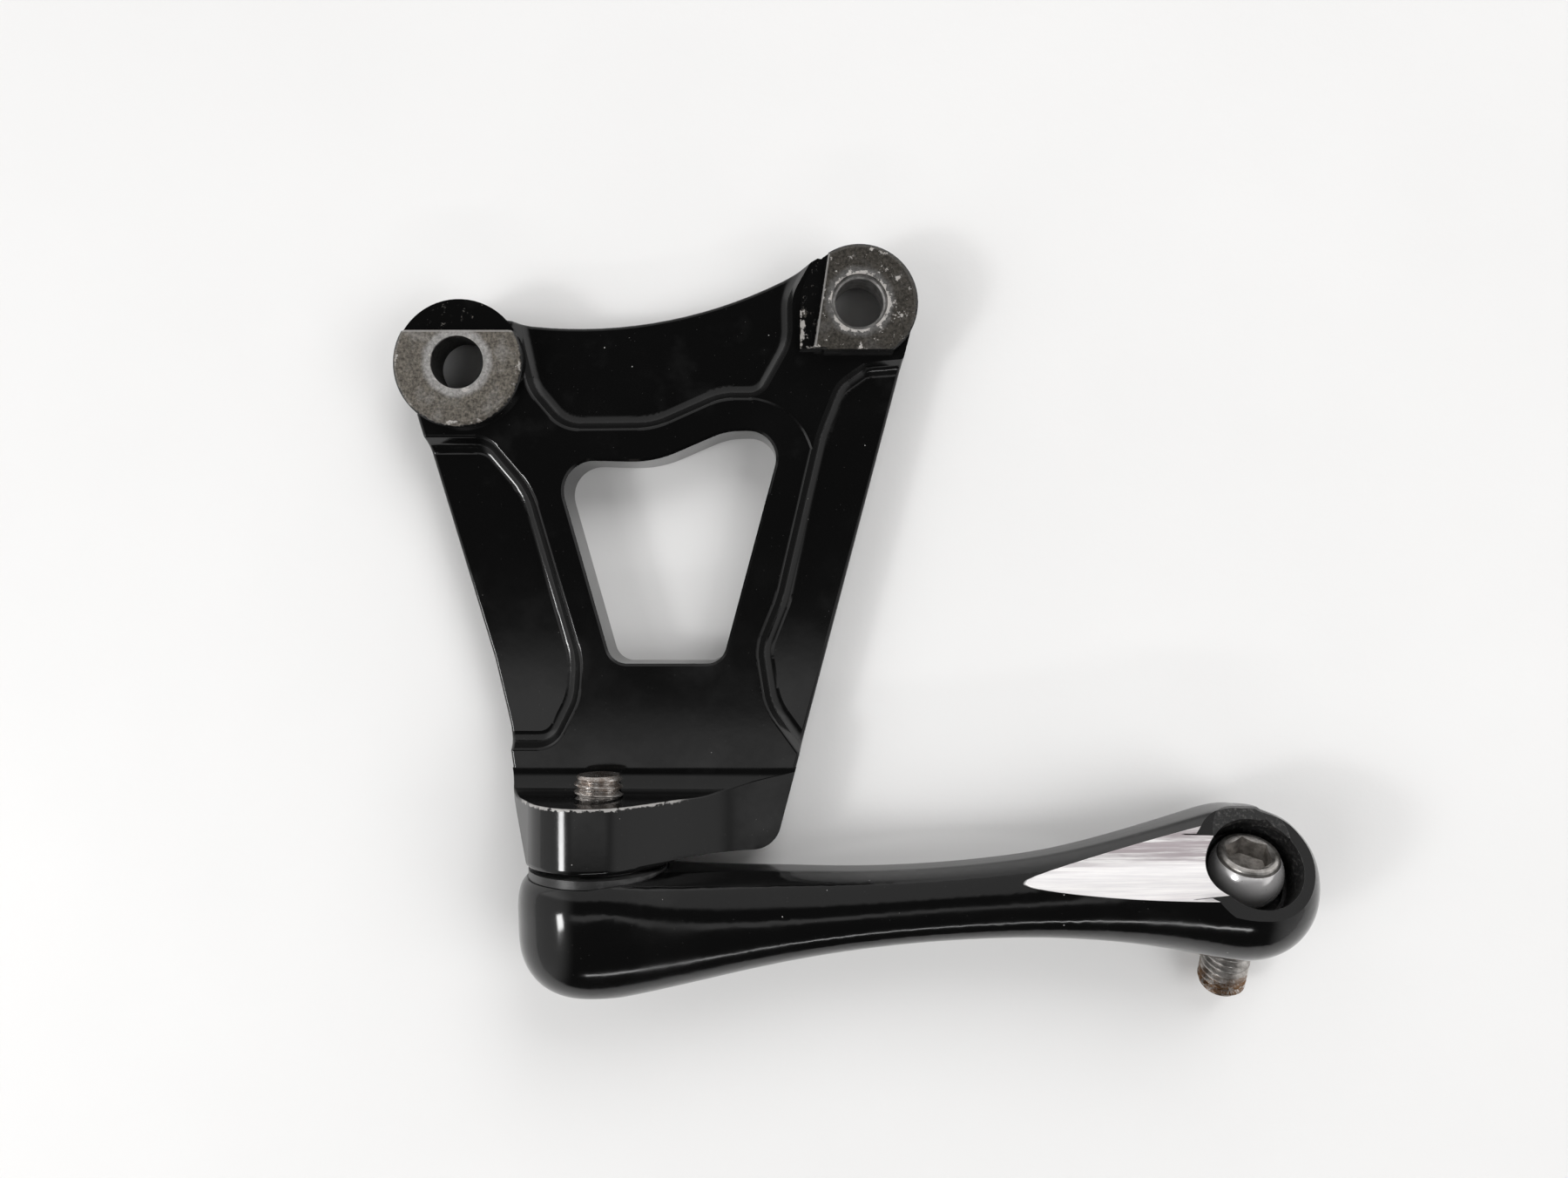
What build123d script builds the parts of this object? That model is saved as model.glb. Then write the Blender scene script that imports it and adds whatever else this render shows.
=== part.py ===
from build123d import *
import math
import os

# Gear shift lever for a motorcycle forward control.
# Millimetres. Origin: centre of the main bolt hole on its contact face.
# +X from the pivot to the peg end, +Y from the lever to the bolt bosses,
# +Z out of the two bare contact faces.

# --- bracket plate -------------------------------------------------------
BACK_Z = -15.7
RIB_Z = -3.0
POCKET_Z = -6.0
POCKET_TAPER = 32
POCKET_FLOOR_R = 2.5
STEP_DEPTH = 0.5
RING_CENTRE = (56.6, -20.4)
RING_R = 13.6
LEDGE_Z = -1.6
BACK_EDGE_R = 1.5
RIB_EDGE_R = 0.7
WINDOW_EDGE = 0.5
PLATE_CORNER = (62.7, -96.4)
PLATE_CORNER_R = 5.5

MAIN_BOSS_R = 12.8
MAIN_HOLE_R = 5.25
MAIN_BOSS_FLAT_Y = 6.3

SIDE_BOSS = (79.4, 11.9)
SIDE_BOSS_R = 11.6
SIDE_BOSS_CUT_Y = 2.6
SLEEVE_R = 5.55
SLEEVE_BORE_R = 4.8
SLEEVE_LENGTH = 8.0
SLEEVE_SUNK = 0.9
BOSS_CHAMFER = 0.8

BOLT_HEAD_R = 8.5
BOLT_HEAD_DEPTH = 6.7

# --- pivot stack along -Y ------------------------------------------------
PIVOT_X = 28.3
PIVOT_Z = 1.9
LUG_X = 27.4
LUG_R = 13.1
LUG_RISE_DEG = 28
LUG_LEAVE_DEG = 52
LUG_WALL_Y = -85.3
LUG_FOOT_R = 5.0
LUG_FACE_Y = -98.0
LUG_FACE_EDGE_R = 1.2
LUG_WALL_EDGE_R = 0.4
SCREW_R = 4.7625
THREAD_R = 4.5
HEAD_R = 7.15
HEAD_H = 9.53
HEX_FLAT_R = 3.97
HEX_DEPTH = 4.8
SHANK_LENGTH = 31.75
TIP_CHAMFER = 0.9
PIVOT_TIP_Y = -80.9
PIVOT_FREE_LENGTH = 4.4
SPACER_R = 6.5
SPACER_BORE_R = 4.85
BUSH_R = 8.0
RUNNING_GAP = 0.04
WAVE_R = 10.2
WAVE_THICK = 0.5
THRUST_R = 13.4
THRUST_THICK = 1.6
SEAT_R = 13.75
SEAT_Y = -100.2
BUSH_END_Y = -110.9
HEAD_WASHER_R = 8.9
HEAD_WASHER_THICK = 1.6
HEAD_POCKET_R = 9.4
END_PLAY = 0.05
HEAD_FACE_Y = PIVOT_TIP_Y - SHANK_LENGTH
SPACER_END_Y = HEAD_FACE_Y + HEAD_WASHER_THICK
THRUST_TOP_Y = SEAT_Y + END_PLAY + THRUST_THICK

# --- lever ---------------------------------------------------------------
PIVOT_END_OUT_Y = -123.3
PEG_END = (153.2, -101.9, 1.2)

# Stations along the lever: X, inboard Y, outboard Y, Y of the widest line,
# half width, and the fullness of the inboard and outboard corners.
STATIONS = [
    (28.3, -98.6, -123.3, -108.5, 15.3, 5.0, 2.6),
    (46.0, -99.0, -120.4, -108.9, 13.2, 3.2, 2.5),
    (64.0, -99.1, -116.7, -107.9, 10.8, 2.5, 2.4),
    (81.0, -99.2, -114.1, -106.6, 9.4, 2.4, 2.4),
    (98.0, -98.3, -112.6, -105.4, 9.0, 2.4, 2.4),
    (115.0, -96.2, -112.2, -104.2, 9.8, 2.3, 2.3),
    (131.0, -92.4, -113.2, -102.8, 12.0, 2.2, 2.2),
    (142.0, -89.0, -115.0, -102.0, 13.8, 2.15, 2.15),
    (153.2, -87.1, -116.7, -101.9, 14.9, 2.12, 2.12),
]
SECTION_COUNT = 14

# Concave cut along the arm: its lowest line from end to end, and its direction.
SCALLOP_R = 9.0
SCALLOP_FROM = (98.0, -100.9, 10.1)
SCALLOP_TO = (153.6, -98.0, 8.6)
SCALLOP_OPENS = (0.0, 0.59, 0.81)

# --- peg seat: a faced pocket, and a screw that leans in it --------------
POCKET_AXIS = (0.05, 0.53, 0.847)
POCKET_R = 8.9
POCKET_FACE = 10.2
POCKET_FACE_R = 12.0
POCKET_FLOOR = 2.0
BALL_CENTRE = (154.1, -99.6, 3.0)
SCREW_AXIS = (-0.026, 0.866, 0.5)
BALL_R = 7.15
BALL_TOP = 3.9
BALL_BOTTOM = -5.0
BALL_BORE_R = 7.35
PEG_HEAD_R = 5.8
PEG_HEAD_TOP = 5.0
PEG_HEAD_H = 6.9
PEG_HOLE_R = 5.1
PEG_SHANK_LENGTH = 28.575
PEG_FREE_LENGTH = 11.5
HEAD_CLEARANCE = 0.12

os.makedirs("parts", exist_ok=True)


def rod(radius, y_from, y_to, x=PIVOT_X, z=PIVOT_Z):
    """Cylinder along Y between two Y values."""
    plane = Plane(origin=(x, max(y_from, y_to), z), z_dir=(0, -1, 0))
    return extrude(plane * Circle(radius), abs(y_to - y_from))


def post(radius, z_from, z_to, centre=(0.0, 0.0)):
    """Cylinder along Z between two Z values."""
    disc = Plane(origin=(centre[0], centre[1], z_from)) * Circle(radius)
    return extrude(disc, z_to - z_from)


def rounded_outline(corners):
    """Closed flat outline through (x, y, corner radius) triples."""
    points = [(x, y) for x, y, _ in corners]
    radii = [radius for _, _, radius in corners]
    return make_face(FilletPolyline(*points, radius=radii, close=True))


def slab(face, z_from, z_to):
    """Flat outline raised between two Z values."""
    return extrude(Plane(origin=(0, 0, z_from)) * face, z_to - z_from)


# --- bracket -------------------------------------------------------------
def plate_outline():
    """Plan of the wedge-shaped plate, without its bosses."""
    left = Polyline(
        (11.3, -86.0), (10.5, -81.0), (9.2, -72.0), (6.1, -59.0), (-8.9, -9.8), (0, 6.0)
    )
    joint = Line((0, 6.0), (0, 10.9))
    top = ThreePointArc((0, 10.9), (36.3, 8.9), (71.2, 21.4))
    right = Polyline((71.2, 21.4), (79.4, 20.0), (89.9, 7.0), PLATE_CORNER)
    foot = Polyline(
        PLATE_CORNER, (44.0, -96.8), (41.8, -97.1), (41.2, -98.0), (15.5, -98.0), (11.3, -86.0)
    )
    return make_face([left, joint, top, right, foot])


def plate_block(z_from, z_to):
    """Plate outline raised between two heights, outer corner rounded."""
    block = slab(plate_outline(), z_from, z_to)
    near_corner = (PLATE_CORNER[0], PLATE_CORNER[1], (z_from + z_to) / 2)
    corner = block.edges().filter_by(Axis.Z).sort_by_distance(near_corner)[0]
    return fillet(corner, PLATE_CORNER_R)


def edges_level_with(solid, axis, position):
    """Edges that lie in the plane at one position along an axis."""
    return solid.edges().filter_by_position(axis, position - 0.001, position + 0.001)


def faces_at(solid, edge):
    """The faces of a solid that meet at an edge."""
    return [face for face in solid.faces() if any(edge.is_same(other) for other in face.edges())]


def pocket(corners):
    """Tapered cutter for a shallow pocket sunk into the ribbed side."""
    plane = Plane(origin=(0, 0, RIB_Z), x_dir=(1, 0, 0), z_dir=(0, 0, -1))
    mirrored = [(x, -y, radius) for x, y, radius in corners]
    cutter = extrude(plane * rounded_outline(mirrored), RIB_Z - POCKET_Z, taper=POCKET_TAPER)
    floor_edges = cutter.faces().sort_by(Axis.Z)[0].edges()
    return fillet(floor_edges, POCKET_FLOOR_R)


def pockets():
    """The three open-sided pockets between the ribs."""
    upper = pocket(
        [
            (2.0, 44, 5), (9.5, 12.0, 8), (13.3, -5.0, 10), (20.0, -12.9, 8),
            (38.5, -12.7, 16), (52.0, -6.7, 12), (60.3, -6.7, 5), (66.6, 4.5, 12),
            (66.4, 14.0, 8), (71.5, 23.0, 5), (76.0, 44.0, 5),
        ]
    )
    left = pocket(
        [
            (-30, -14.3, 5), (5.5, -14.3, 6), (14.2, -24.5, 18), (24.2, -58.5, 18),
            (23.6, -67.0, 12), (18.8, -76.6, 6), (-30, -76.6, 5),
        ]
    )
    right = pocket(
        [
            (112, 3.5, 5), (80.5, 0.9, 5), (74.6, -3.2, 8), (70.6, -13.5, 24),
            (62.9, -46.5, 20), (58.9, -56.5, 10), (60.8, -68.5, 14), (72.5, -84.5, 5),
            (112, -84.5, 5),
        ]
    )
    return upper, left, right


def window():
    """Cutter for the trapezoid window with its wavy upper edge."""
    face = rounded_outline(
        [
            (18.5, -18.9, 6), (38.5, -19.4, 22), (52.8, -13.2, 14), (64.6, -13.0, 5.5),
            (52.1, -59.6, 4), (30.1, -59.6, 4),
        ]
    )
    opening = slab(face, BACK_Z - 1, RIB_Z + 1)
    front = extrude(Plane(origin=(0, 0, RIB_Z - WINDOW_EDGE)) * face, 1, taper=-45)
    return opening + front


def arm_step():
    """Cutter that lowers the rib of the side boss, with a sloping edge round the window's ring."""
    outline = Polyline(
        (58.0, -6.9), (66.0, 30.0), (90.0, 30.0), (95.0, -2.0), (70.2, -20.0), (60.0, -15.0),
        close=True,
    )
    height = STEP_DEPTH + 1
    ring = Cone(RING_R + STEP_DEPTH, RING_R - 1, height, align=(Align.CENTER, Align.CENTER, Align.MIN))
    ring = Pos(*RING_CENTRE, RIB_Z - STEP_DEPTH) * ring
    return slab(make_face(outline), RIB_Z - STEP_DEPTH, RIB_Z + 1) - ring


def main_boss():
    """Round boss of the main bolt, with the segment above its flat cut lower."""
    boss = post(MAIN_BOSS_R, BACK_Z, 0)
    boss = chamfer(boss.edges().sort_by(Axis.Z)[-1], BOSS_CHAMFER, 0.9)
    beyond_flat = Pos(0, MAIN_BOSS_FLAT_Y + 10, LEDGE_Z + 5) * Box(40, 20, 10)
    return boss - beyond_flat


def side_boss():
    """Boss of the locating sleeve: a round pad, a squared ledge and two flats."""
    pad = post(SIDE_BOSS_R, BACK_Z, 0, SIDE_BOSS)
    pad = chamfer(pad.edges().sort_by(Axis.Z)[-1], BOSS_CHAMFER, 0.9)
    ledge = make_face(
        Polyline(
            (67.7, 3.0), (67.7, 10.6), (71.6, 17.6), (73.0, 20.0), (79.4, 20.0), (79.4, 3.0),
            close=True,
        )
    )
    slant = make_face(
        Polyline((70.1, 0.0), (73.6, 24.0), (60.0, 24.0), (60.0, 0.0), close=True)
    )
    below = Pos(SIDE_BOSS[0], SIDE_BOSS_CUT_Y - 10, RIB_Z - STEP_DEPTH + 10) * Box(40, 20, 20)
    boss = (pad + slab(ledge, BACK_Z, -0.05)) - below
    return boss - slab(slant, LEDGE_Z, 5)


def lug_profile():
    """Section of the lug across Y: a round eye that sweeps down to the plate."""
    rise = math.radians(LUG_RISE_DEG)
    leave = math.radians(LUG_LEAVE_DEG)
    shoulder = (LUG_X - LUG_R * math.cos(rise), PIVOT_Z + LUG_R * math.sin(rise))
    crown = (LUG_X, PIVOT_Z + LUG_R)
    departure = (LUG_X + LUG_R * math.cos(leave), PIVOT_Z + LUG_R * math.sin(leave))
    start = (9.0, -7.0)
    flank = Spline(
        start, shoulder, tangents=[(0.25, 1), (math.sin(rise), math.cos(rise))]
    )
    eye = ThreePointArc(shoulder, crown, departure)
    descent = Spline(
        departure,
        (52.5, -0.7),
        (68.0, RIB_Z),
        tangents=[(math.sin(leave), -math.cos(leave)), (1, -0.05)],
    )
    close = Polyline((68.0, RIB_Z), (68.0, BACK_Z), (9.0, BACK_Z), start)
    return make_face([flank, eye, descent, close])


def lug():
    """Pivot lug with the concave foot of its inboard wall."""
    section = Plane(origin=(0, LUG_WALL_Y, 0), x_dir=(1, 0, 0), z_dir=(0, -1, 0))
    raised = extrude(section * lug_profile(), LUG_WALL_Y - LUG_FACE_Y)
    foot_section = Plane(origin=(0, LUG_WALL_Y + 8, 0), x_dir=(1, 0, 0), z_dir=(0, -1, 0))
    foot_height = extrude(foot_section * lug_profile(), 8)
    hollow_centre = (LUG_WALL_Y + LUG_FOOT_R, RIB_Z + LUG_FOOT_R)
    arc_middle = (
        hollow_centre[0] - LUG_FOOT_R * math.sqrt(0.5),
        hollow_centre[1] - LUG_FOOT_R * math.sqrt(0.5),
    )
    fillet_lines = [
        ThreePointArc(
            (LUG_WALL_Y, hollow_centre[1]), arc_middle, (hollow_centre[0], RIB_Z)
        ),
        Polyline(
            (hollow_centre[0], RIB_Z),
            (hollow_centre[0], RIB_Z - 1),
            (LUG_WALL_Y, RIB_Z - 1),
            (LUG_WALL_Y, hollow_centre[1]),
        ),
    ]
    along_x = Plane(origin=(8, 0, 0), x_dir=(0, 1, 0), z_dir=(1, 0, 0))
    foot = extrude(along_x * make_face(fillet_lines), 60) & foot_height
    solid = (raised + foot) & plate_block(BACK_Z, 30)
    face_edges = edges_level_with(solid, Axis.Y, LUG_FACE_Y).filter_by(lambda e: e.center().Z > RIB_Z)
    solid = fillet(face_edges, LUG_FACE_EDGE_R)
    wall_edges = edges_level_with(solid, Axis.Y, LUG_WALL_Y).filter_by(lambda e: e.center().Z > 2)
    return fillet(wall_edges, LUG_WALL_EDGE_R)


def ribbed_plate():
    """Plate with its pockets sunk and its outer and rib edges rounded."""
    body = plate_block(BACK_Z, RIB_Z)
    body = fillet(edges_level_with(body, Axis.Z, BACK_Z), BACK_EDGE_R)
    for cutter in pockets():
        body -= cutter
    rib_face = body.faces().filter_by_position(Axis.Z, RIB_Z - 0.001, RIB_Z + 0.001)[0]
    outer_edges = []
    for edge in edges_level_with(body, Axis.Z, POCKET_Z):
        if any(abs(face.normal_at().Z) < 0.02 for face in faces_at(body, edge)):
            outer_edges.append(edge)
    return fillet(rib_face.outer_wire().edges() + outer_edges, RIB_EDGE_R)


def bracket_body():
    body = ribbed_plate()
    body -= arm_step()
    body += main_boss()
    body += side_boss()
    body += lug()
    body -= window()
    body -= post(MAIN_HOLE_R, BACK_Z - 1, 1)
    body -= post(SLEEVE_BORE_R, BACK_Z - 1, 1, SIDE_BOSS)
    body -= post(SLEEVE_R, -SLEEVE_SUNK - SLEEVE_LENGTH, 1, SIDE_BOSS)
    for centre in ((0.0, 0.0), SIDE_BOSS):
        body -= post(BOLT_HEAD_R, BACK_Z - 1, BACK_Z + BOLT_HEAD_DEPTH, centre)
    return body - rod(SCREW_R, LUG_WALL_Y + LUG_FOOT_R, LUG_FACE_Y - 1)


def locating_sleeve():
    top = -SLEEVE_SUNK
    ring = post(SLEEVE_R, top - SLEEVE_LENGTH, top, SIDE_BOSS)
    ring -= post(SLEEVE_BORE_R, top - SLEEVE_LENGTH - 1, 1, SIDE_BOSS)
    mouth = ring.edges().filter_by(GeomType.CIRCLE).group_by(Axis.Z)[-1].sort_by(SortBy.RADIUS)[0]
    return chamfer(mouth, 0.35)


# --- pivot stack ---------------------------------------------------------
def socket_screw(head_radius, head_height, shank, free_length):
    """Socket head cap screw along +Z: head top at Z = 0, and a threaded free end below the shank."""
    head = post(head_radius, -head_height, 0)
    head = fillet(head.edges().sort_by(Axis.Z)[-1], 0.8)
    head -= extrude(Pos(0, 0, -HEX_DEPTH) * RegularPolygon(HEX_FLAT_R, 6, major_radius=False), 10)
    tip = -head_height - shank
    stem = post(SCREW_R, tip + free_length, -head_height + 0.5)
    free_end = post(THREAD_R, tip, tip + free_length)
    free_end = chamfer(free_end.edges().sort_by(Axis.Z)[0], TIP_CHAMFER)
    return head + stem + free_end


def pivot_screw():
    placed = Plane(
        origin=(PIVOT_X, PIVOT_TIP_Y - SHANK_LENGTH - HEAD_H, PIVOT_Z),
        x_dir=(1, 0, 0),
        z_dir=(0, -1, 0),
    )
    return placed * socket_screw(HEAD_R, HEAD_H, SHANK_LENGTH, PIVOT_FREE_LENGTH)


def ring_y(outer, bore, y_from, y_to):
    """Plain ring on the pivot axis."""
    return rod(outer, y_from, y_to) - rod(bore, y_from + 1, y_to - 1)


# --- lever ---------------------------------------------------------------
def station(x):
    """Section sizes at X, eased between the stations and level at both ends."""
    last = len(STATIONS) - 1
    lower = max(i for i in range(last) if STATIONS[i][0] <= x + 1e-9)
    before, after = STATIONS[lower], STATIONS[lower + 1]
    span = after[0] - before[0]
    t = (x - before[0]) / span

    def slope(index, column):
        if index in (0, last):
            return 0.0
        low, high = STATIONS[index - 1], STATIONS[index + 1]
        return (high[column] - low[column]) / (high[0] - low[0])

    sizes = []
    for column in range(1, len(before)):
        sizes.append(
            (2 * t**3 - 3 * t**2 + 1) * before[column]
            + (3 * t**2 - 2 * t**3) * after[column]
            + (t**3 - 2 * t**2 + t) * span * slope(lower, column)
            + (t**3 - t**2) * span * slope(lower + 1, column)
        )
    return sizes


def blade(x, side):
    """Half of the closed section at X, from its outboard to its inboard point."""
    y_in, y_out, y_wide, half_width, power_in, power_out = station(x)
    points = []
    for step in range(13):
        angle = math.radians(-90 + 15 * step)
        power = power_in if angle > 0 else power_out
        height = y_in - y_wide if angle > 0 else y_wide - y_out
        across = half_width * abs(math.cos(angle)) ** (2 / power)
        along = math.copysign(height * abs(math.sin(angle)) ** (2 / power), angle)
        points.append((side * across, along))
    points[0] = (0, y_out - y_wide)
    points[-1] = (0, y_in - y_wide)
    return Spline(*points, tangents=[(side, 0), (-side, 0)])


def across_arm(x):
    """Plane across the lever at X, with its local Y inboard."""
    first, last = STATIONS[0][0], STATIONS[-1][0]
    z = PIVOT_Z + (PEG_END[2] - PIVOT_Z) * (x - first) / (last - first)
    return Plane(origin=(x, station(x)[2], z), x_dir=(0, 0, -1), z_dir=(1, 0, 0))


def section_face(x):
    return across_arm(x) * make_face([blade(x, 1), blade(x, -1)])


def end_bulb(x, sweep):
    """Half turn of an end's profile about its own thickness axis."""
    y_in, y_out, y_wide = station(x)[:3]
    curve = blade(x, 1)
    plane = across_arm(x)
    face = plane * make_face([curve, Line((0, y_in - y_wide), (0, y_out - y_wide))])
    return revolve(face, Axis(plane.origin, (0, 1, 0)), sweep)


def lever_blank():
    """Outer body of the lever: two round ends joined by a waisted arm."""
    first, last = STATIONS[0][0], STATIONS[-1][0]
    step = (last - first) / (SECTION_COUNT - 1)
    arm = loft([section_face(first + step * i) for i in range(SECTION_COUNT)])
    return arm + end_bulb(first, 180) + end_bulb(last, -180)


def leaning_post(centre, axis, radius, start, end):
    """Cylinder along an axis, between two distances from a centre."""
    base = Plane(origin=Vector(*centre) + Vector(*axis).normalized() * start, z_dir=axis)
    return extrude(base * Circle(radius), end - start)


def scallop():
    """Round-nosed cutter that ends inside the bore of the peg end."""
    opening = Vector(*SCALLOP_OPENS).normalized() * SCALLOP_R
    start = Vector(*SCALLOP_FROM) + opening
    end = Vector(*SCALLOP_TO) + opening
    base = Plane(origin=start, z_dir=end - start)
    return extrude(base * Circle(SCALLOP_R), (end - start).length)


def lever_arm():
    body = lever_blank()
    body -= rod(SEAT_R, SEAT_Y, SEAT_Y + 10)
    body -= rod(BUSH_R, SEAT_Y + 5, PIVOT_END_OUT_Y - 5)
    body -= rod(HEAD_POCKET_R, BUSH_END_Y, PIVOT_END_OUT_Y - 5)
    body -= leaning_post(PEG_END, POCKET_AXIS, POCKET_FACE_R, POCKET_FACE, 30)
    body -= leaning_post(PEG_END, POCKET_AXIS, POCKET_R, POCKET_FLOOR, 30)
    body -= leaning_post(BALL_CENTRE, SCREW_AXIS, BALL_BORE_R, BALL_BOTTOM, 8)
    body -= leaning_post(BALL_CENTRE, SCREW_AXIS, PEG_HOLE_R, -40, 10)
    return body - scallop()


def ball_collar():
    """Polished ball that carries the head of the peg screw."""
    ball = Pos(*BALL_CENTRE) * Sphere(BALL_R)
    ball &= leaning_post(BALL_CENTRE, SCREW_AXIS, BALL_R + 1, BALL_BOTTOM, BALL_TOP)
    head_seat = PEG_HEAD_TOP - PEG_HEAD_H
    ball -= leaning_post(BALL_CENTRE, SCREW_AXIS, PEG_HEAD_R + HEAD_CLEARANCE, head_seat, BALL_R)
    return ball - leaning_post(BALL_CENTRE, SCREW_AXIS, SCREW_R + HEAD_CLEARANCE, -BALL_R - 1, BALL_TOP)


def peg_screw():
    top = Vector(*BALL_CENTRE) + Vector(*SCREW_AXIS) * PEG_HEAD_TOP
    placed = Plane(origin=top, x_dir=(1, 0, 0.034), z_dir=SCREW_AXIS)
    return placed * socket_screw(PEG_HEAD_R, PEG_HEAD_H, PEG_SHANK_LENGTH, PEG_FREE_LENGTH)


NODES = {
    "bracket_body": bracket_body(),
    "locating_sleeve": locating_sleeve(),
    "pivot_screw": pivot_screw(),
    "pivot_spacer": ring_y(SPACER_R, SPACER_BORE_R, LUG_FACE_Y, SPACER_END_Y),
    "head_washer": ring_y(HEAD_WASHER_R, SPACER_BORE_R, SPACER_END_Y, HEAD_FACE_Y),
    "wave_washer": ring_y(WAVE_R, SPACER_R + 0.1, LUG_FACE_Y, LUG_FACE_Y - WAVE_THICK),
    "thrust_washer": ring_y(THRUST_R, SPACER_R + 0.06, THRUST_TOP_Y, THRUST_TOP_Y - THRUST_THICK),
    "pivot_bush": ring_y(BUSH_R, SPACER_R + RUNNING_GAP, SEAT_Y - 0.1, BUSH_END_Y),
    "lever_arm": lever_arm(),
    "peg_ball_collar": ball_collar(),
    "peg_screw": peg_screw(),
}

for name, solid in NODES.items():
    export_step(solid, f"parts/{name}.step")
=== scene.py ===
import math

import bpy
from mathutils import Matrix, Vector


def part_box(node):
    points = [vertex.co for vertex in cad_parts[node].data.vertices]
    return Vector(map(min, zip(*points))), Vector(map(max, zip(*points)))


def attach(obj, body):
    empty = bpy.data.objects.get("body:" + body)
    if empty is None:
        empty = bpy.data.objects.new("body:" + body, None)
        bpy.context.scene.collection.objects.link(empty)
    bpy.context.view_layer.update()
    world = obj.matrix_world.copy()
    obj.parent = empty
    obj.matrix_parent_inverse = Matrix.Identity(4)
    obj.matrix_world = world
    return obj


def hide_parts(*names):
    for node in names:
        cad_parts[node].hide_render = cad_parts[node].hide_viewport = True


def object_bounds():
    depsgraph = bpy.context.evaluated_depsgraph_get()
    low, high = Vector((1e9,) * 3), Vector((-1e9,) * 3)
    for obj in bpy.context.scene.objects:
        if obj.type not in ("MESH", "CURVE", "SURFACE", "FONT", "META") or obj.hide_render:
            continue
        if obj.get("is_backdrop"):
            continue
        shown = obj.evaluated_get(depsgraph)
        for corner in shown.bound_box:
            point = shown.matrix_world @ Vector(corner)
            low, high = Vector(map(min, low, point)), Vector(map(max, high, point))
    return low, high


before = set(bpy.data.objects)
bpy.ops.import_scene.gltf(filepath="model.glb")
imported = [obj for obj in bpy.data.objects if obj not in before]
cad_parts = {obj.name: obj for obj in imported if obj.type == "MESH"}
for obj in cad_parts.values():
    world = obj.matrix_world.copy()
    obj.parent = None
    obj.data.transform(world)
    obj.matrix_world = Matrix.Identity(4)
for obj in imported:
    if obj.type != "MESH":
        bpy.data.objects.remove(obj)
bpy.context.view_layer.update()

# Places and sizes are millimetres in the frame of the CAD. MM turns them into metres.
MM = 0.001

# --- places on the bracket -------------------------------------------------
MAIN_BOSS = Vector((0.0, 0.0, 0.0))
SIDE_BOSS = Vector((79.4, 11.9, 0.0))
BOLT_AXIS = Vector((0.0, 0.0, 1.0))
BETWEEN_BOSSES_X = 40.0
BOSSES_FROM_Y = -16.0
MAIN_BORE_EDGE = 5.3
SIDE_BORE_EDGE = 5.6
FLAT_Y = (6.0, 6.35)
FLAT_SLOPE = 0.1458
SLANT_LINE = (70.0, 70.4)
LEDGE_X = (66.0, 76.0)
LEDGE_Y = (2.0, 22.0)
LEDGE_Z = (-1.75, -1.3)
POCKET_FLOOR_Z = (-6.1, -5.9)
FLOOR_LEAN = -0.03
LUG_EDGE_Y = -85.15

# --- places on the lever ---------------------------------------------------
PIVOT = Vector((28.3, 0.0, 1.9))
BALL = Vector((154.1, -99.6, 3.0))
PEG_END = Vector((153.2, -101.9, 1.2))
SCREW_AXIS = Vector((-0.026, 0.866, 0.5)).normalized()
POCKET_AXIS = Vector((0.05, 0.53, 0.847)).normalized()
POCKET_R = 8.94
POCKET_FACE = (10.12, 10.28)
BALL_BORE_R = 7.4
SCALLOP_R = 9.06
SCALLOP_OPENS = Vector((0.0, 0.59, 0.81)).normalized() * 9.0
SCALLOP_FROM = Vector((98.0, -100.9, 10.1)) + SCALLOP_OPENS
SCALLOP_TO = Vector((153.6, -98.0, 8.6)) + SCALLOP_OPENS
PEG_END_FROM_X = 120.0

# --- socket head screws ----------------------------------------------------
PITCH = 1.5875
THREAD_R = 4.7625
THREAD_DEPTH = 0.8
THREAD_STEPS = 12
END_BEVEL = 0.9
HEX_R = 3.97
HEAD_ROUND = 0.8
HEAD_STEPS = 8
CAP_R = 0.02
SEGMENTS = 72
ANGLES = [2 * math.pi * k / SEGMENTS for k in range(SEGMENTS)]

PIVOT_HEAD_R = 7.15
PIVOT_HEAD_H = 9.53
PIVOT_HEX_DEPTH = 4.8
PIVOT_SHANK = 31.75
PIVOT_PLAIN = 14.0
PEG_HEAD_R = 5.8
PEG_HEAD_H = 6.9
PEG_HEX_DEPTH = 4.3
PEG_SHANK = 28.575
PEG_PLAIN = 4.0
PEG_HEAD_TOP = 5.0

# --- stage, in metres and watts --------------------------------------------
MIDDLE = (0.07, -0.05, 0.0)
FLOOR_CENTRE = (0.065, -0.045)
FLOOR_SIZE = 6.0
FLOOR_GAP = 0.0001
LEFT_POWER = 6.2
BACK_POWER = 8.6
RIGHT_POWER = 7.2
KEY_POWER = 1.6
LOW_FRONT_POWER = 0.9
CAMERA_PLACE = (0.0645, -0.0447, 0.2321)
CAMERA_LENS = 27.06


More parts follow.
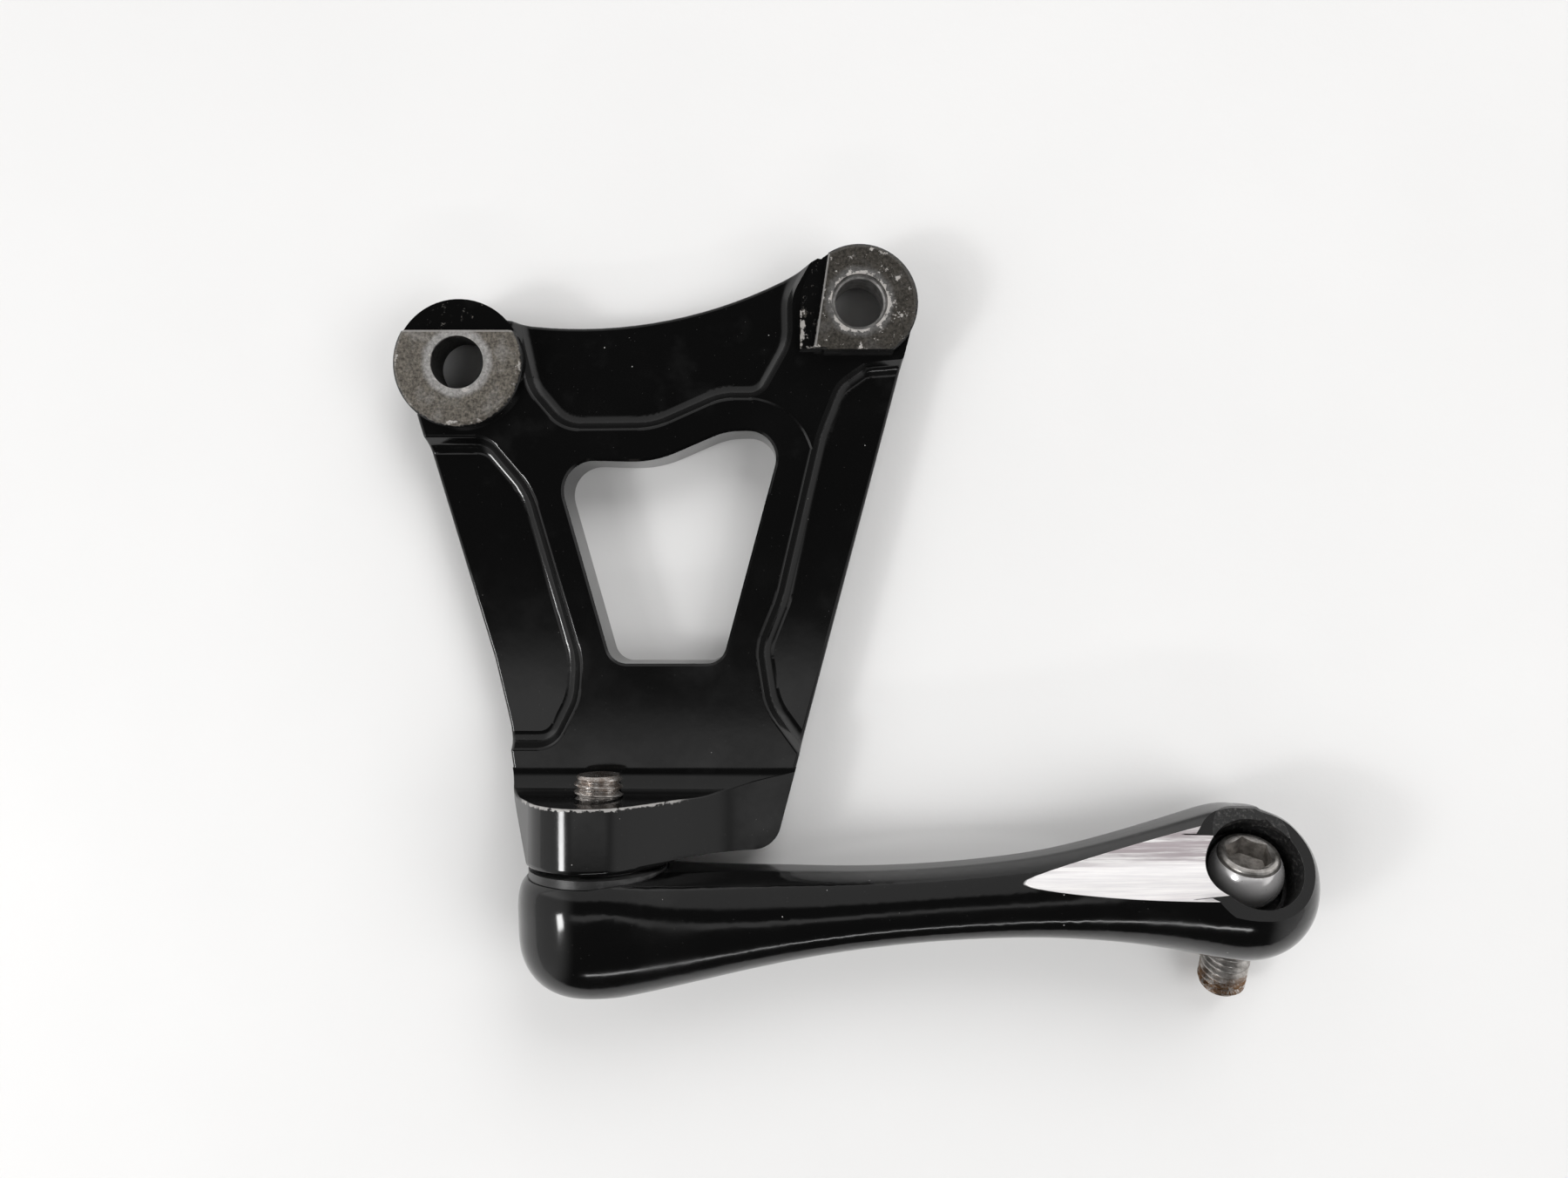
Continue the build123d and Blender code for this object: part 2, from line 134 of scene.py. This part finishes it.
# --- shader helpers ----------------------------------------------------------
class Nodes:
    """A node tree, and the few patterns that the materials and the sky share."""

    def __init__(self, tree):
        self.tree = tree
        tree.nodes.clear()

    def add(self, kind):
        return self.tree.nodes.new("ShaderNode" + kind)

    def feed(self, socket, value):
        if isinstance(value, bpy.types.NodeSocket):
            self.tree.links.new(value, socket)
        else:
            socket.default_value = value

    def math(self, operation, a, b=0.0):
        node = self.add("Math")
        node.operation = operation
        self.feed(node.inputs[0], a)
        self.feed(node.inputs[1], b)
        return node.outputs[0]

    def vector(self, operation, a, b=(0, 0, 0), scale=1.0):
        node = self.add("VectorMath")
        node.operation = operation
        self.feed(node.inputs[0], a)
        self.feed(node.inputs[1], b)
        node.inputs[3].default_value = scale
        return node.outputs["Value" if operation in ("LENGTH", "DOT_PRODUCT") else "Vector"]

    def part(self, vector, axis):
        node = self.add("SeparateXYZ")
        self.feed(node.inputs[0], vector)
        return node.outputs[axis]

    def step(self, value, low, high):
        """0 below low and 1 above high, smooth between; falls if low is above high."""
        node = self.add("MapRange")
        node.interpolation_type = "SMOOTHSTEP"
        falling = low > high
        self.feed(node.inputs["Value"], value)
        node.inputs["From Min"].default_value = min(low, high)
        node.inputs["From Max"].default_value = max(low, high)
        node.inputs["To Min"].default_value = 1.0 if falling else 0.0
        node.inputs["To Max"].default_value = 0.0 if falling else 1.0
        return node.outputs["Result"]

    def within(self, value, span, soft):
        """1 inside the span, fading out over the soft distance at both ends."""
        low, high = span
        return self.times(self.step(value, low - soft, low), self.step(value, high + soft, high))

    def times(self, *factors):
        product = factors[0]
        for factor in factors[1:]:
            product = self.math("MULTIPLY", product, factor)
        return product

    def most(self, *values):
        best = values[0]
        for value in values[1:]:
            best = self.math("MAXIMUM", best, value)
        return best


class Shader(Nodes):
    """A Principled material that knows its surface point in millimetres."""

    def __init__(self, name):
        self.material = bpy.data.materials.new(name)
        self.material.use_nodes = True
        super().__init__(self.material.node_tree)
        output = self.add("OutputMaterial")
        self.bsdf = self.add("BsdfPrincipled")
        self.tree.links.new(self.bsdf.outputs[0], output.inputs["Surface"])
        coordinates = self.add("TexCoord")
        self.normal = coordinates.outputs["Normal"]
        self.point = self.vector("SCALE", coordinates.outputs["Object"], scale=1 / MM)

    def set(self, **values):
        for name, value in values.items():
            self.feed(self.bsdf.inputs[name.replace("_", " ")], value)

    def noise(self, scale, detail=3.0, roughness=0.55, stretch=(1, 1, 1), shift=(0, 0, 0)):
        """Noise around 0.5; scale is per millimetre."""
        node = self.add("TexNoise")
        node.inputs["Scale"].default_value = scale
        node.inputs["Detail"].default_value = detail
        node.inputs["Roughness"].default_value = roughness
        stretched = self.vector("MULTIPLY", self.point, stretch)
        self.feed(node.inputs["Vector"], self.vector("ADD", stretched, shift))
        return node.outputs["Fac"]

    def specks(self, scale, size, share, shift=(0, 0, 0)):
        """Round specks: one per cell at most, in a share of the cells."""
        node = self.add("TexVoronoi")
        node.inputs["Scale"].default_value = scale
        self.feed(node.inputs["Vector"], self.vector("ADD", self.point, shift))
        chance = self.part(node.outputs["Color"], 0)
        radius = self.times(self.step(chance, 1 - share, 1.0), size * scale)
        inside = self.math("SUBTRACT", node.outputs["Distance"], radius)
        return self.step(inside, 0.0, -0.25 * size * scale)

    def mix(self, factor, a, b):
        """Colour between a and b."""
        node = self.add("Mix")
        node.data_type = "RGBA"
        return self.mixed(node, factor, a, b)

    def blend(self, factor, a, b):
        """Number between a and b."""
        return self.mixed(self.add("Mix"), factor, a, b)

    def mixed(self, node, factor, a, b):
        self.feed(node.inputs["Factor"], factor)
        self.feed(node.inputs["A"], a)
        self.feed(node.inputs["B"], b)
        return node.outputs["Result"]

    def bump(self, height, distance):
        """Normal of a surface whose height pattern is the distance deep, in millimetres."""
        node = self.add("Bump")
        node.inputs["Strength"].default_value = 1.0
        node.inputs["Distance"].default_value = distance * MM
        self.feed(node.inputs["Height"], height)
        return node.outputs["Normal"]

    def from_line(self, start, direction):
        """Distance of the surface point from a line, in millimetres."""
        offset = self.vector("SUBTRACT", self.point, tuple(start))
        return self.vector("LENGTH", self.vector("CROSS_PRODUCT", offset, tuple(direction.normalized())))

    def along_line(self, start, direction):
        """How far the surface point lies along a line, in millimetres."""
        offset = self.vector("SUBTRACT", self.point, tuple(start))
        return self.vector("DOT_PRODUCT", offset, tuple(direction))


def grey(level, warmth=0.0):
    return (level * (1 + warmth), level, level * (1 - warmth), 1.0)


def brown(level, tone):
    """Dark colour of stained bare metal, scaled by a boss's tone."""
    return (level * tone, 0.9 * level * tone, 0.76 * level * tone, 1.0)


# --- black paint with wear ----------------------------------------------------
def black_gloss(shader, dust_share=0.5):
    """Colour, roughness and height of black paint with dust and smears."""
    smear = shader.noise(0.045, 5.0, 0.6)
    cloud = shader.step(shader.noise(0.07, 4.0, 0.6, shift=(31, 7, 3)), 0.56, 0.74)
    specks = shader.specks(0.36, 0.16, dust_share, (5, 9, 2))
    fine = shader.specks(1.3, 0.1, 0.4, (1, 4, 8))
    dense = shader.times(fine, shader.most(cloud, 0.12))
    dust = shader.most(shader.times(specks, 0.7), shader.times(dense, 0.45))
    body = shader.mix(shader.times(cloud, 0.6), grey(0.0025), grey(0.009))
    colour = shader.mix(dust, body, grey(0.4, 0.02))
    rough = shader.blend(shader.step(smear, 0.4, 0.7), 0.1, 0.19)
    rough = shader.blend(dust, rough, 0.7)
    height = shader.noise(0.8, 2.0, 0.5)
    return colour, rough, height


def bare_metal(shader, grit, boss, tone, patches):
    """Colour of a stained contact face: a light ring round its bolt hole and flaked bright patches."""
    stain = shader.noise(0.2, 4.0, 0.6, shift=(8, 1, 4))
    rag = shader.noise(0.5, 7.0, 0.72, shift=(2, 6, 1))
    uneven = shader.times(shader.noise(0.35, 3.0, 0.6), 1.6)
    radius = shader.math("ADD", shader.from_line(boss, BOLT_AXIS), uneven)
    ring = shader.step(radius, 8.3, 6.9)
    rims = shader.most(shader.step(radius, 12.2, 12.6), shader.step(radius, 7.4, 6.6))
    grain = shader.step(grit, 0.3, 0.76)
    dark = shader.mix(grain, brown(0.03, tone), brown(0.25, tone))
    light = shader.mix(grain, grey(0.2 * tone, 0.03), grey(0.5 * tone, 0.02))
    shade = shader.most(shader.times(ring, 0.85), shader.times(shader.step(stain, 0.5, 0.7), 0.3))
    flakes = shader.step(shader.math("ADD", rag, shader.times(rims, 0.15)), patches, patches + 0.025)
    bright = shader.mix(grit, grey(0.3, 0.05), grey(0.75, 0.05))
    return shader.mix(flakes, shader.mix(shade, dark, light), bright)


def contact_metal(shader, grit, x, y, slant):
    """Colour of both contact faces, with bright lines where their flats end."""
    left = bare_metal(shader, grit, MAIN_BOSS, 1.15, 0.7)
    right = bare_metal(shader, grit, SIDE_BOSS, 0.45, 0.6)
    metal = shader.mix(shader.step(x, BETWEEN_BOSSES_X, BETWEEN_BOSSES_X + 1), left, right)
    on_left = shader.step(x, BETWEEN_BOSSES_X, BETWEEN_BOSSES_X - 1)
    flat_line = shader.times(shader.within(y, FLAT_Y, 0.1), on_left)
    slant_line = shader.times(shader.within(slant, SLANT_LINE, 0.1), shader.step(x, 60.0, 61.0))
    return shader.mix(shader.times(shader.most(flat_line, slant_line), 0.6), metal, grey(0.42, 0.03))


def worn_ledge(shader, ragged, x, y, z, slant):
    """Where the low ledge beside the sleeve's boss has lost its paint, mostly along its edges."""
    area = shader.times(
        shader.within(x, LEDGE_X, 0.1), shader.within(y, LEDGE_Y, 0.1), shader.within(z, LEDGE_Z, 0.1)
    )
    edges = shader.most(shader.step(slant, 67.9, 67.3), shader.step(slant, 69.6, 70.1))
    edges = shader.times(edges, shader.step(y, 14.0, 8.0))
    worn = shader.step(shader.math("ADD", ragged, shader.times(edges, 0.2)), 0.1, 0.14)
    return shader.times(area, worn)


def lug_chips(shader, ragged, x, y, z):
    """Chips along the edge of the lug above the pivot screw's free end."""
    off_edge = shader.math("ABSOLUTE", shader.math("SUBTRACT", y, LUG_EDGE_Y))
    not_on_wall = shader.step(shader.part(shader.normal, 1), 0.93, 0.8)
    near = shader.times(shader.step(off_edge, 1.3, 0.2), not_on_wall)
    chipped = shader.step(shader.math("ADD", shader.times(near, 0.3), ragged), 0.19, 0.24)
    return shader.times(chipped, shader.step(z, 3.0, 6.0), shader.step(x, 60.0, 52.0))


def bolt_holes(shader):
    main = shader.step(shader.from_line(MAIN_BOSS, BOLT_AXIS), MAIN_BORE_EDGE + 0.2, MAIN_BORE_EDGE)
    side = shader.step(shader.from_line(SIDE_BOSS, BOLT_AXIS), SIDE_BORE_EDGE + 0.15, SIDE_BORE_EDGE)
    return shader.most(main, side)


def sloped(shader, normal, z):
    """Normal of the bracket with its pocket floors sloping slightly towards the lever."""
    in_pocket = shader.within(z, POCKET_FLOOR_Z, 0.05)
    lean = shader.vector("MULTIPLY", in_pocket, (0.0, FLOOR_LEAN, 0.0))
    return shader.vector("NORMALIZE", shader.vector("ADD", normal, lean))


def bracket_material():
    """Black paint, bare on the contact faces, the ledge and the lug's edge; the bores are bare metal given
    a near-black painted shade.
    """
    shader = Shader("bracket_gloss_black")
    x, y, z = (shader.part(shader.point, axis) for axis in range(3))
    slant = shader.math("SUBTRACT", x, shader.times(y, FLAT_SLOPE))
    colour, rough, height = black_gloss(shader)
    grit = shader.noise(1.7, 7.0, 0.8, shift=(4, 2, 9))
    ragged = shader.math("SUBTRACT", shader.noise(0.9, 6.0, 0.7, shift=(2, 7, 1)), 0.5)

    on_bosses = shader.step(y, BOSSES_FROM_Y, BOSSES_FROM_Y + 2)
    ragged_z = shader.math("ADD", z, shader.times(ragged, 1.4))
    face = shader.times(shader.step(ragged_z, -0.6, -0.45), on_bosses)
    ledge = worn_ledge(shader, ragged, x, y, z, slant)
    rim = shader.times(shader.within(z, (-2.6, -0.3), 0.3), shader.step(ragged, 0.13, 0.16), on_bosses)
    bare = shader.most(face, shader.times(ledge, 0.8), shader.times(rim, 0.6))
    chips = lug_chips(shader, ragged, x, y, z)
    holes = bolt_holes(shader)

    # Painted shade: the bolt holes' bare walls are coloured near black to stand for the shade inside them.
    bore = shader.mix(shader.step(grit, 0.35, 0.6), grey(0.008, 0.04), grey(0.05, 0.04))
    colour = shader.mix(holes, colour, bore)
    colour = shader.mix(bare, colour, contact_metal(shader, grit, x, y, slant))
    colour = shader.mix(chips, colour, shader.mix(grit, grey(0.25, 0.03), grey(0.6, 0.03)))
    worn = shader.most(bare, chips, holes)
    relief = shader.blend(bare, shader.times(height, 0.02), grit)
    shader.set(
        Base_Color=colour,
        Metallic=shader.times(worn, 0.55),
        Roughness=shader.blend(worn, rough, 0.5),
        Normal=sloped(shader, shader.bump(relief, 0.12), z),
    )
    return shader.material


def peg_pocket(shader, x):
    """Inside of the pocket and of the ball's bore."""
    near_peg = shader.step(x, PEG_END_FROM_X, PEG_END_FROM_X + 2)
    to_pocket = shader.from_line(PEG_END, POCKET_AXIS)
    to_screw = shader.from_line(BALL, SCREW_AXIS)
    pocket = shader.step(to_pocket, POCKET_R + 0.06, POCKET_R)
    bore = shader.step(to_screw, BALL_BORE_R + 0.1, BALL_BORE_R)
    return shader.times(shader.most(pocket, bore), near_peg)


def scallop_face(shader, x):
    """The concave cut, without the faced ring round the pocket."""
    off_axis = shader.from_line(SCALLOP_FROM, SCALLOP_TO - SCALLOP_FROM)
    height = shader.along_line(PEG_END, POCKET_AXIS)
    faced = shader.times(shader.within(height, POCKET_FACE, 0.03), shader.step(x, 140.0, 141.0))
    return shader.times(
        shader.step(off_axis, SCALLOP_R + 0.06, SCALLOP_R),
        shader.step(x, 95.0, 96.0),
        shader.step(x, 153.9, 153.7),
        shader.math("SUBTRACT", 1.0, faced),
    )


def scallop_metal(shader, streak):
    """Bright milled aluminium, streaked along the arm, with a pinkish painted shade on its inboard half."""
    tint = shader.noise(0.12, 3.0, 0.6, stretch=(0.35, 1.0, 1.0))
    inboard = shader.math("ADD", shader.part(shader.point, 1), shader.times(tint, 4.0))
    inboard = shader.step(inboard, -96.6, -94.2)
    metal = shader.mix(shader.step(streak, 0.35, 0.65), (0.8, 0.78, 0.79, 1), (1.0, 0.98, 0.97, 1))
    # Painted shade: the inboard half of the hollow is coloured a duller pinkish grey where it turns away
    # from the light.
    painted_shade = shader.times(inboard, shader.step(streak, 0.62, 0.4))
    return shader.mix(painted_shade, metal, (0.5, 0.44, 0.46, 1))


def lever_material():
    """Black paint with a bare milled scallop and a rough dark pocket."""
    shader = Shader("lever_gloss_black")
    x = shader.part(shader.point, 0)
    colour, rough, height = black_gloss(shader, 0.4)
    grit = shader.noise(1.4, 6.0, 0.75)
    streak = shader.noise(0.9, 5.0, 0.7, stretch=(0.03, 1.0, 1.0))
    inside = peg_pocket(shader, x)
    polished = shader.times(scallop_face(shader, x), shader.math("SUBTRACT", 1.0, inside))

    wall = shader.mix(shader.step(grit, 0.5, 0.68), grey(0.008), grey(0.07, 0.03))
    colour = shader.mix(inside, colour, wall)
    colour = shader.mix(polished, colour, scallop_metal(shader, streak))
    rough = shader.blend(inside, rough, 0.42)
    rough = shader.blend(polished, rough, shader.blend(streak, 0.24, 0.4))
    relief = shader.blend(inside, shader.times(height, 0.02), grit)
    relief = shader.blend(polished, relief, shader.times(streak, 0.05))
    shader.set(
        Base_Color=colour,
        Metallic=shader.times(polished, 0.4),
        Roughness=rough,
        Normal=shader.bump(relief, 0.12),
    )
    return shader.material


# --- other finishes -----------------------------------------------------------
def worn_steel(name, light, dark, rough=0.28, rust=0.0, rusty=None):
    """Turned steel with stains; rusty is (start, direction, from, to) and says where rust gathers."""
    shader = Shader(name)
    stain = shader.noise(0.5, 5.0, 0.65)
    fine = shader.noise(3.0, 4.0, 0.7, shift=(3, 3, 3))
    colour = shader.mix(shader.step(stain, 0.36, 0.66), light, dark)
    if rusty is not None:
        start, direction, low, high = rusty
        along = shader.step(shader.along_line(start, direction), low, high)
        patches = shader.step(shader.math("ADD", fine, stain), 0.78, 1.12)
        colour = shader.mix(shader.times(along, patches, rust), colour, (0.19, 0.1, 0.045, 1))
    shader.set(
        Base_Color=colour,
        Metallic=0.92,
        Roughness=shader.blend(fine, rough * 0.7, rough * 1.4),
        Normal=shader.bump(fine, 0.02),
    )
    return shader.material


def polished_ball():
    shader = Shader("ball_polished")
    haze = shader.noise(0.25, 4.0, 0.6)
    pits = shader.specks(0.9, 0.16, 0.2)
    colour = shader.mix(haze, (0.86, 0.84, 0.83, 1), (0.7, 0.69, 0.7, 1))
    shader.set(
        Base_Color=shader.mix(pits, colour, grey(0.12)),
        Metallic=0.7,
        Roughness=shader.blend(shader.step(haze, 0.4, 0.7), 0.16, 0.26),
    )
    return shader.material


def thrust_plastic():
    shader = Shader("thrust_plastic")
    cloud = shader.noise(0.3, 4.0, 0.6)
    rings = shader.noise(1.6, 3.0, 0.6, stretch=(0.1, 2.5, 0.1))
    shader.set(
        Base_Color=shader.mix(shader.step(cloud, 0.4, 0.7), grey(0.018), grey(0.05)),
        Roughness=shader.blend(cloud, 0.28, 0.45),
        Normal=shader.bump(rings, 0.03),
    )
    return shader.material


def sintered_bronze():
    shader = Shader("bush_bronze")
    pores = shader.noise(3.5, 4.0, 0.7)
    shader.set(
        Base_Color=shader.mix(shader.step(pores, 0.35, 0.65), (0.2, 0.11, 0.045, 1), (0.52, 0.34, 0.17, 1)),
        Metallic=0.9,
        Roughness=0.42,
        Normal=shader.bump(pores, 0.03),
    )
    return shader.material


def paint_nodes():
    """Give every shown CAD node its finish."""
    finishes = {
        "bracket_body": bracket_material(),
        "lever_arm": lever_material(),
        "locating_sleeve": worn_steel("sleeve_steel", grey(0.6, 0.02), grey(0.32, 0.03), 0.34),
        "pivot_spacer": worn_steel("spacer_steel", grey(0.62), grey(0.5), 0.3),
        "head_washer": worn_steel("washer_steel", grey(0.6, 0.02), grey(0.4, 0.02), 0.3),
        "wave_washer": worn_steel("spring_steel", grey(0.2), grey(0.1), 0.35),
        "thrust_washer": thrust_plastic(),
        "pivot_bush": sintered_bronze(),
        "peg_ball_collar": polished_ball(),
    }
    for node, material in finishes.items():
        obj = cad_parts[node]
        obj.data.materials.clear()
        obj.data.materials.append(material)


# --- screws with real threads and sockets --------------------------------------
def hex_radius(angle):
    """Distance from the middle to the side of the hexagon socket at an angle."""
    turn = math.radians(60)
    return HEX_R / math.cos((angle + turn / 2) % turn - turn / 2)


def thread_height(turns):
    """Thread profile over one pitch, 0 at the root and 1 at the crest."""
    phase = turns % 1.0
    flank = min(phase, 1.0 - phase) * 2.0
    return min(1.0, max(0.0, (flank - 0.12) / 0.76))


def ring(radius, height):
    """Points round the screw's axis; radius and height are numbers or functions of the angle."""
    points = []
    for angle in ANGLES:
        r = radius(angle) if callable(radius) else radius
        z = height(angle) if callable(height) else height
        points.append((r * math.cos(angle), r * math.sin(angle), z))
    return points


def head_rings(head_r, head_h, hex_depth):
    """Rings from the bottom of the socket, over the rounded top, to the head's underside."""
    mouth = HEX_R / math.cos(math.radians(30)) + 0.12
    rings = [
        ring(CAP_R, -hex_depth - 0.8),
        ring(0.82 * HEX_R, -hex_depth - 0.15),
        ring(lambda angle: hex_radius(angle) - 0.02, -hex_depth),
        ring(hex_radius, -hex_depth + 0.1),
        ring(hex_radius, lambda angle: -0.08 - 0.6 * (mouth - hex_radius(angle))),
        ring(mouth, -0.02),
        ring(mouth + 0.06, 0.0),
        ring(head_r - HEAD_ROUND - 0.02, 0.0),
    ]
    for k in range(1, HEAD_STEPS + 1):
        turn = math.radians(90 * k / HEAD_STEPS)
        round_r = head_r - HEAD_ROUND + HEAD_ROUND * math.sin(turn)
        rings.append(ring(round_r, HEAD_ROUND * (math.cos(turn) - 1)))
    rings.append(ring(head_r, -head_h + 0.25))
    rings.append(ring(head_r - 0.25, -head_h))
    rings.append(ring(THREAD_R + 0.3, -head_h))
    return rings


def shank_rings(head_h, shank, plain):
    """Rings of the plain shank and the thread, down to the bevelled end."""
    rings = [ring(THREAD_R, -head_h - 0.3), ring(THREAD_R, -head_h - plain)]
    start = plain + 0.2
    steps = int((shank - start) / (PITCH / THREAD_STEPS))
    for k in range(steps + 1):
        depth = start + (shank - start) * k / steps
        deep = THREAD_DEPTH * min(1.0, (depth - plain) / 1.2)
        crest = THREAD_R - END_BEVEL * max(0.0, depth - (shank - END_BEVEL))

        def thread_r(angle):
            height = thread_height(depth / PITCH - angle / (2 * math.pi))
            return min(crest, THREAD_R - deep * (1 - height))

        rings.append(ring(thread_r, -head_h - depth))
    rings.append(ring(THREAD_R - 2 * THREAD_DEPTH, -head_h - shank - 0.02))
    rings.append(ring(CAP_R, -head_h - shank - 0.05))
    return rings


def ring_mesh(name, rings):
    """Closed mesh through rings of points, capped at both ends."""
    vertices = [point for points in rings for point in points]
    faces = []
    for row in range(len(rings) - 1):
        for column in range(SEGMENTS):
            here = row * SEGMENTS + column
            after = row * SEGMENTS + (column + 1) % SEGMENTS
            faces.append((here, after, after + SEGMENTS, here + SEGMENTS))
    last = (len(rings) - 1) * SEGMENTS
    faces.append(tuple(reversed(range(SEGMENTS))))
    faces.append(tuple(last + column for column in range(SEGMENTS)))
    mesh = bpy.data.meshes.new(name)
    mesh.from_pydata(vertices, [], faces)
    mesh.validate()
    return mesh


def screw_object(name, rings, origin, axis, across):
    """Screw whose head top is at origin; axis points out of the head and across turns its socket."""
    obj = bpy.data.objects.new(name, ring_mesh(name, rings))
    bpy.context.scene.collection.objects.link(obj)
    side = (across - axis * axis.dot(across)).normalized()
    turn = Matrix((side, axis.cross(side), axis)).transposed()
    for vertex in obj.data.vertices:
        vertex.co = (turn @ vertex.co + origin) * MM
    obj.data.update()
    for polygon in obj.data.polygons:
        polygon.use_smooth = True
    obj.data.set_sharp_from_angle(angle=math.radians(38))
    return obj


def add_pivot_screw():
    rings = head_rings(PIVOT_HEAD_R, PIVOT_HEAD_H, PIVOT_HEX_DEPTH)
    rings += shank_rings(PIVOT_HEAD_H, PIVOT_SHANK, PIVOT_PLAIN)
    top = Vector((PIVOT.x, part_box("pivot_screw")[0][1] / MM, PIVOT.z))
    pivot = screw_object("pivot_socket_screw", rings, top, Vector((0, -1, 0)), Vector((1, 0, 0)))
    rusty = (PIVOT, (0, 1, 0), -86.5, -83.0)
    pivot.data.materials.append(
        worn_steel("pivot_screw_steel", grey(0.72, 0.03), grey(0.46, 0.03), 0.26, 0.5, rusty)
    )
    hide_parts("pivot_screw")
    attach(pivot, "bracket")


def add_peg_screw():
    rings = head_rings(PEG_HEAD_R, PEG_HEAD_H, PEG_HEX_DEPTH)
    rings += shank_rings(PEG_HEAD_H, PEG_SHANK, PEG_PLAIN)
    top = BALL + SCREW_AXIS * PEG_HEAD_TOP
    peg = screw_object("peg_socket_screw", rings, top, SCREW_AXIS, Vector((1, 0, 0.034)))
    rusty = (BALL, -SCREW_AXIS, 23.0, 28.0)
    peg.data.materials.append(
        worn_steel("peg_screw_steel", grey(0.6, 0.04), grey(0.3, 0.06), 0.3, 1.0, rusty)
    )
    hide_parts("peg_screw")
    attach(peg, "peg")


# --- stage --------------------------------------------------------------------
def floor():
    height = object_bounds()[0][2] - FLOOR_GAP
    bpy.ops.mesh.primitive_plane_add(size=FLOOR_SIZE, location=(*FLOOR_CENTRE, height))
    plane = bpy.context.object
    plane.name = "floor"
    shader = Shader("pale_floor")
    wash = shader.noise(0.01, 4.0, 0.6)
    shader.set(
        Base_Color=shader.mix(wash, (0.78, 0.775, 0.77, 1), (0.84, 0.835, 0.83, 1)),
        Roughness=0.5,
        Normal=shader.bump(shader.noise(0.3, 4.0, 0.6), 0.05),
    )
    plane.data.materials.append(shader.material)
    plane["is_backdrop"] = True


def sky():
    """Soft room light: dark overhead, bright beyond the bosses, pale to the sides."""
    world = bpy.data.worlds.new("studio")
    bpy.context.scene.world = world
    world.use_nodes = True
    nodes = Nodes(world.node_tree)
    direction = nodes.add("TexCoord").outputs["Generated"]
    sideways = nodes.math("ABSOLUTE", nodes.part(direction, 0))
    forwards = nodes.part(direction, 1)
    back = nodes.times(nodes.step(forwards, 0.3, 0.5), 0.55)
    sides = nodes.times(nodes.step(sideways, 0.4, 0.75), 0.6)
    strip = nodes.times(nodes.step(forwards, -0.1, -0.13), nodes.step(forwards, -0.24, -0.2))
    strip = nodes.times(strip, nodes.step(sideways, 0.6, 0.4), 0.8)
    total = nodes.math("ADD", nodes.math("ADD", back, sides), nodes.math("ADD", strip, 0.03))
    background = nodes.add("Background")
    nodes.feed(background.inputs["Strength"], total)
    nodes.feed(background.inputs["Color"], (1.0, 0.995, 0.99, 1))
    output = nodes.add("OutputWorld")
    nodes.feed(output.inputs["Surface"], background.outputs[0])


def area_light(name, place, target, size, power, glossy=True):
    light = bpy.data.lights.new(name, "AREA")
    light.shape = "RECTANGLE"
    light.size, light.size_y = size
    light.energy = power
    obj = bpy.data.objects.new(name, light)
    bpy.context.scene.collection.objects.link(obj)
    obj.location = place
    obj.rotation_euler = (Vector(target) - Vector(place)).to_track_quat("-Z", "Y").to_euler()
    obj.visible_glossy = glossy
    obj.visible_camera = False


def lights():
    """Three soft lights for the shadows, and two small ones for the glints on the lever."""
    area_light("soft_left", (-0.95, -0.4, 0.95), MIDDLE, (0.9, 0.9), LEFT_POWER, glossy=False)
    area_light("soft_back", (0.5, 0.95, 1.05), MIDDLE, (0.8, 0.8), BACK_POWER, glossy=False)
    area_light("soft_right", (1.0, -0.35, 1.1), MIDDLE, (0.9, 0.9), RIGHT_POWER, glossy=False)
    area_light("key_left", (-0.62, -0.3, 0.62), (0.03, -0.1, 0), (0.16, 0.14), KEY_POWER)
    area_light("low_front", (0.12, -1.0, 0.62), MIDDLE, (0.7, 0.05), LOW_FRONT_POWER)


def camera():
    bpy.context.scene.view_settings.view_transform = "Standard"
    data = bpy.data.cameras.new("camera")
    data.sensor_width = 36.0
    data.lens = CAMERA_LENS
    data.clip_start = 0.005
    obj = bpy.data.objects.new("camera", data)
    bpy.context.scene.collection.objects.link(obj)
    obj.location = CAMERA_PLACE
    bpy.context.scene.camera = obj


paint_nodes()
add_pivot_screw()
add_peg_screw()
floor()
sky()
lights()
camera()
